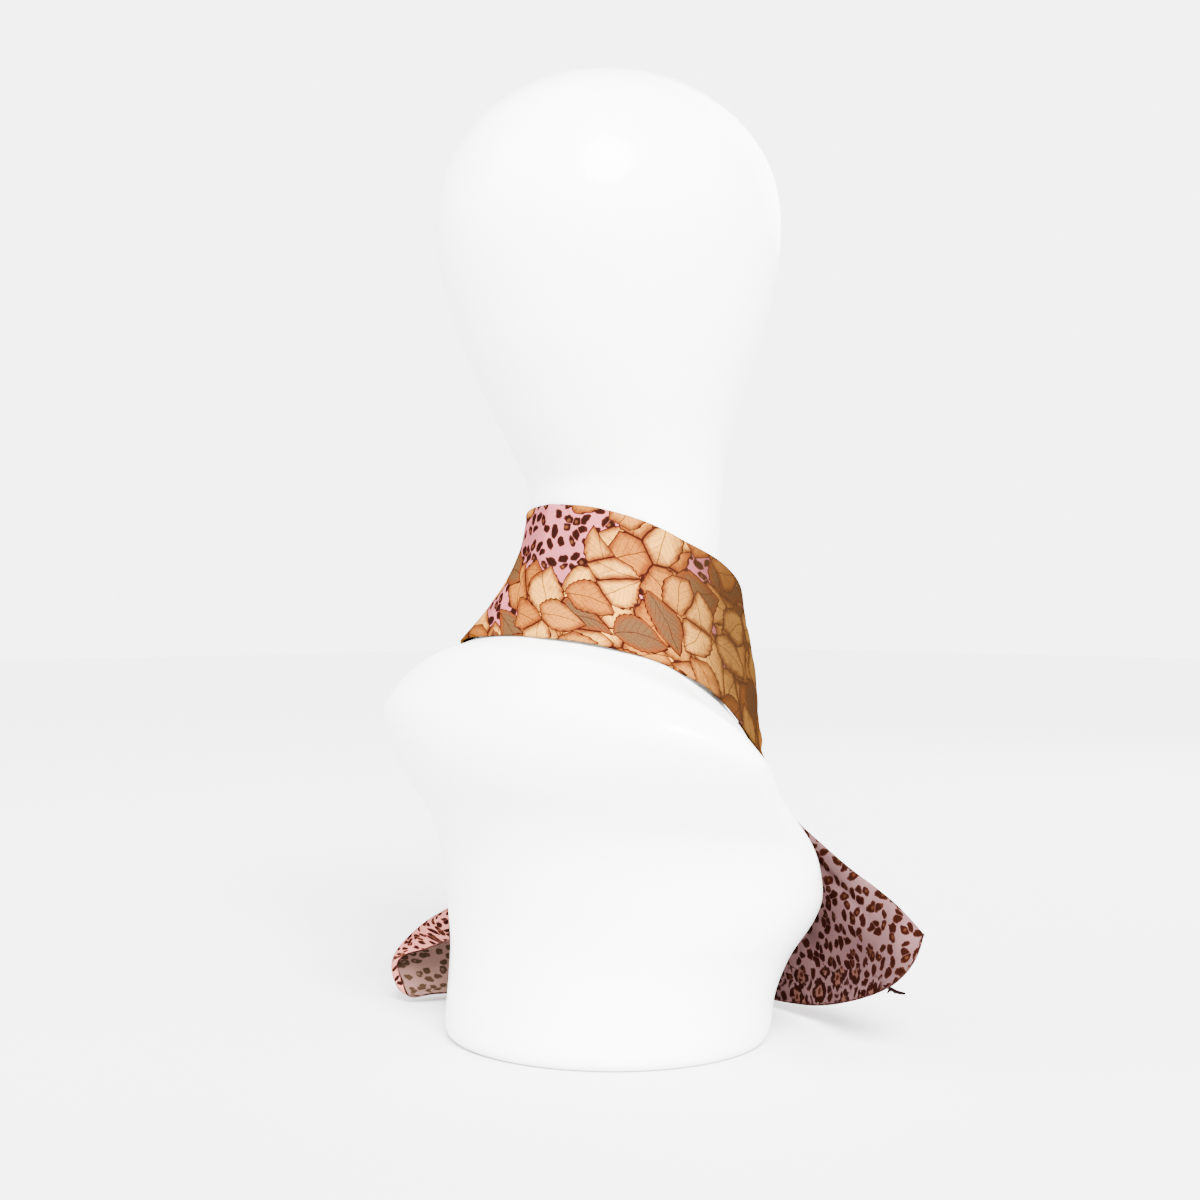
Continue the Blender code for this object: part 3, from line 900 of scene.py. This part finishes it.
def leafSilk(name, paintedShadeShare=None):
    tree = Tree(name)
    uv, coords = wovenCoords(tree, 0.0012, 90.0)
    colour = leopardColour(tree, uv, coords, faceInks, 0.0, leopard["bandSpots"])
    for scale, shift in leaf["layers"]:
        mask, leafColour = leafLayer(tree, uv, coords, scale, shift)
        colour = tree.mix(mask, colour, leafColour)
    # painted shade: the colour is darkened and mixed with taupe on both sides of the neck, easing off towards
    # the knot; the knot takes a fixed share
    if paintedShadeShare is None:
        x = tree.math("ABSOLUTE", tree.math("SUBTRACT", tree.split(uv)[0], band["napeAt"]))
        paintedShadeEasing = tree.math("MULTIPLY_ADD", tree.ramp(x, *band["paintedShadeEnd"]), band["paintedShadeLeft"] - 1.0, 1.0)
        paintedShadeShare = tree.math("MULTIPLY", tree.ramp(x, band["paintedShadeFrom"], band["paintedShadeTo"]), paintedShadeEasing)
    paintedShadeColour = tree.mix(looks["paintedShadeTaupe"], tree.vector("MULTIPLY", colour, looks["paintedShade"]), looks["taupe"])
    tree.cloth(tree.mix(paintedShadeShare, colour, paintedShadeColour), uv)
    return tree.material


def rolledSilk(name):
    tree = Tree(name)
    patch = tree.ramp(tree.noise(tree.layer("cloth"), 260.0, 1.0), 0.52, 0.60)
    tree.cloth(tree.mix(patch, looks["hem"], looks["hemPale"]), tree.layer("cloth"), 0.6)
    return tree.material


def plainSilk(name, colour, roughness=0.6):
    tree = Tree(name)
    tree.put(tree.shader.inputs["Base Color"], colour)
    tree.shader.inputs["Roughness"].default_value = roughness
    tree.shader.inputs["Specular IOR Level"].default_value = 0.0
    return tree.material


def glossWhite(name):
    tree = Tree(name)
    tree.put(tree.shader.inputs["Base Color"], bust["colour"])
    tree.shader.inputs["Roughness"].default_value = bust["roughness"]
    tree.shader.inputs["Specular IOR Level"].default_value = bust["shine"]
    tree.shader.inputs["Coat Weight"].default_value = bust["coat"]
    tree.shader.inputs["Coat Roughness"].default_value = bust["coatRoughness"]
    return tree.material


def buildBand(tree, materials):
    piece = clothGrid(
        "bandCloth",
        band["along"],
        band["across"],
        lambda u, w: bandPoint(u, w, tree),
        band["thickness"],
        materials,
    )
    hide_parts("foulard_band")
    return piece


def looseEnds(name, start, material):
    ahead = Vector((-0.682, -0.731, 0.0))
    beside = Vector((0.731, -0.682, 0.0))
    upward = Vector((0.0, 0.0, 1.0))
    strands = (
        ((-1.5, 1.2), (2.0, -0.2), (5.5, -2.0), (9.5, -2.8)),
        ((0.4, -2.4), (2.2, -0.6), (4.6, -2.6)),
    )
    builder = bmesh.new()
    for strand in strands:
        points = [start + (ahead * out + upward * up) * mm for out, up in strand]
        made = bmesh.ops.create_grid(builder, x_segments=len(points) * 4, y_segments=6, size=0.5)
        for vert in made["verts"]:
            t = vert.co.x + 0.5
            angle = 2.0 * math.pi * (vert.co.y + 0.5)
            place = Vector(between([tuple(point) for point in points], t))
            full = math.sin(math.pi * min(max(t, 0.02), 0.98)) ** 0.5
            wide = tail["looseRadius"] * mm * (0.3 + 0.7 * full)
            vert.co = place + (beside * math.cos(angle) + upward * math.sin(angle)) * wide
    bmesh.ops.remove_doubles(builder, verts=builder.verts, dist=0.00001)
    bmesh.ops.holes_fill(builder, edges=[edge for edge in builder.edges if edge.is_boundary], sides=8)
    bmesh.ops.recalc_face_normals(builder, faces=builder.faces)
    return newObject(name, builder, [material])


def hemLine(rows, creases, tree):
    start, run = tail["hemFrom"], 1.0 - tail["hemFrom"]
    edge = [tailPoint(rows, creases, start + run * k / 60.0, 0.0, tree) for k in range(60)]
    edge += [tailPoint(rows, creases, 1.0, k / 120.0, tree) for k in range(121)]
    edge += [tailPoint(rows, creases, 1.0 - run * k / 60.0, 1.0, tree) for k in range(1, 61)]
    return edge


def buildTail(word, rows, creases, tree, flatten, materials, hemMaterial, threadMaterial):
    piece = clothGrid(
        f"{word}Tail",
        tail["along"],
        tail["across"],
        lambda u, v: tailPoint(rows, creases, u, v, tree),
        tail["thickness"],
        materials,
        flatten,
    )
    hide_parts(f"foulard_tail_{word}")
    edge = hemLine(rows, creases, tree)
    radius = tail["hemRadius"]
    hem = tubeAlong(f"{word}Hem", edge, radius, [hemMaterial])
    stitches = hemStitches(
        f"{word}HemStitches", edge, tail["stitchEvery"], radius, threadMaterial
    )
    return piece, hem, stitches, edge


def areaOf(piece):
    return sum(face.area for face in piece.data.polygons)


studio = {
    "wall": 5.8,  # brightness of the pale wall all round
    "wallTop": (0.29, 0.48),
    "ceiling": 1.7,
    "floor": (0.64, 0.64, 0.64),
    "floorRoughness": 0.9,
    "floorShine": 0.1,
    "sun": 29.0,
    "sunWide": 30.0,
    "sunFrom": (-0.86, 0.52, 0.84),
    "lamps": (  # name, place, aim, size, watts
        ("keyLight", (0.54, 1.20, 1.30), (0.0, 0.0, 0.25), (0.8, 0.8), 34.0),
        ("sideLight", (-1.24, -0.56, 1.29), (0.0, 0.0, 0.25), (0.8, 0.8), 20.0),
        ("frontLight", (0.30, -1.60, 1.20), (0.0, 0.0, 0.20), (1.2, 1.2), 44.0),
    ),
}
camera = {
    "place": (-0.7289, 0.6847, 0.226),
    "heading": 227.0,
    "lens": 57.6,
    "sensor": 36.0,
}


def areaLight(name, place, aim, size, power):
    data = bpy.data.lights.new(name, "AREA")
    data.shape = "RECTANGLE"
    data.size, data.size_y = size
    data.energy = power
    lamp = bpy.data.objects.new(name, data)
    bpy.context.collection.objects.link(lamp)
    lamp.location = place
    lamp.rotation_euler = (Vector(aim) - Vector(place)).to_track_quat("-Z", "Y").to_euler()


def buildStage():
    builder = bmesh.new()
    bmesh.ops.create_grid(builder, x_segments=1, y_segments=1, size=6.0)
    mesh = bpy.data.meshes.new("floor")
    builder.to_mesh(mesh)
    builder.free()
    tree = Tree("floorPale")
    tree.put(tree.shader.inputs["Base Color"], studio["floor"])
    tree.shader.inputs["Roughness"].default_value = studio["floorRoughness"]
    tree.shader.inputs["Specular IOR Level"].default_value = studio["floorShine"]
    mesh.materials.append(tree.material)
    floor = bpy.data.objects.new("floor", mesh)
    bpy.context.collection.objects.link(floor)
    floor.location.z = -0.0002
    world = bpy.data.worlds.new("studio")
    bpy.context.scene.world = world
    world.use_nodes = True
    nodes = world.node_tree.nodes
    links = world.node_tree.links
    height = nodes.new("ShaderNodeSeparateXYZ")
    links.new(nodes.new("ShaderNodeTexCoord").outputs["Generated"], height.inputs[0])
    glow = nodes.new("ShaderNodeMapRange")
    glow.interpolation_type = "SMOOTHSTEP"
    links.new(height.outputs[2], glow.inputs["Value"])
    glow.inputs["From Min"].default_value = studio["wallTop"][0]
    glow.inputs["From Max"].default_value = studio["wallTop"][1]
    glow.inputs["To Min"].default_value = studio["wall"]
    glow.inputs["To Max"].default_value = studio["ceiling"]
    nodes["Background"].inputs[0].default_value = (1.0, 1.0, 1.0, 1.0)
    links.new(glow.outputs["Result"], nodes["Background"].inputs[1])
    data = bpy.data.lights.new("sunLight", "SUN")
    data.energy = studio["sun"]
    data.angle = math.radians(studio["sunWide"])
    lamp = bpy.data.objects.new("sunLight", data)
    bpy.context.collection.objects.link(lamp)
    lamp.rotation_euler = Vector(studio["sunFrom"]).to_track_quat("Z", "Y").to_euler()
    for lampName, place, aim, size, power in studio["lamps"]:
        areaLight(lampName, place, aim, size, power)
    data = bpy.data.cameras.new("photoCamera")
    data.lens = camera["lens"]
    data.sensor_width = camera["sensor"]
    eye = bpy.data.objects.new("photoCamera", data)
    bpy.context.collection.objects.link(eye)
    eye.location = camera["place"]
    eye.rotation_euler = (math.radians(90.0), 0.0, math.radians(camera["heading"]))
    bpy.context.scene.camera = eye


bustPiece = buildBust(glossWhite("bustGloss"))
bustTree = surfaceOf(bustPiece)
print("bust done")
# painted light copy of the leopard print, on the left tail and the right tail's outer side
leopardPaintedLight = printedSilk("leopardPrintPaintedLight", paintedLightInks, -0.02, leopard["paleSpots"])  # no rosettes
# painted shade copy of the leopard print, on the right tail's side seen from behind
leopardPaintedShade = printedSilk("leopardPrintPaintedShade", paintedShadeInks, leopard["rosetteRow"], leopard["shadeSpots"])
leopardBack = reverseSilk("leopardReverse")
leafFront = leafSilk("leafPrint")
hemSilk = rolledSilk("hemSilk")
threadSilk = plainSilk("hemThread", looks["thread"])
print("silks done")
bandPiece = buildBand(bustTree, [leafFront, leafFront])
print("band done", round(areaOf(bandPiece), 4))
tailPlans = (
    ("right", rightRows, rightCreases, fanPlaces, [leopardPaintedShade, leopardPaintedLight, hemSilk]),
    ("left", leftRows, leftCreases, flatPlaces, [leopardPaintedLight, leopardBack, hemSilk]),
)
for word, rows, creases, flatten, silks in tailPlans:
    piece, hem, stitches, edge = buildTail(word, rows, creases, bustTree, flatten, silks, hemSilk, threadSilk)
    if word == "right":
        looseEnds("rightLooseEnds", edge[tail["looseEnd"]], threadSilk)
    print(word, "tail done", round(areaOf(piece), 4))
# the knot's leaf print with a fixed share of painted shade
leafKnot = leafSilk("leafPrintKnot", knot["paintedShade"])
knotCore(leafKnot)
knotWrap([leafKnot, leafKnot])
print("knot done")
buildStage()
print("stage done")
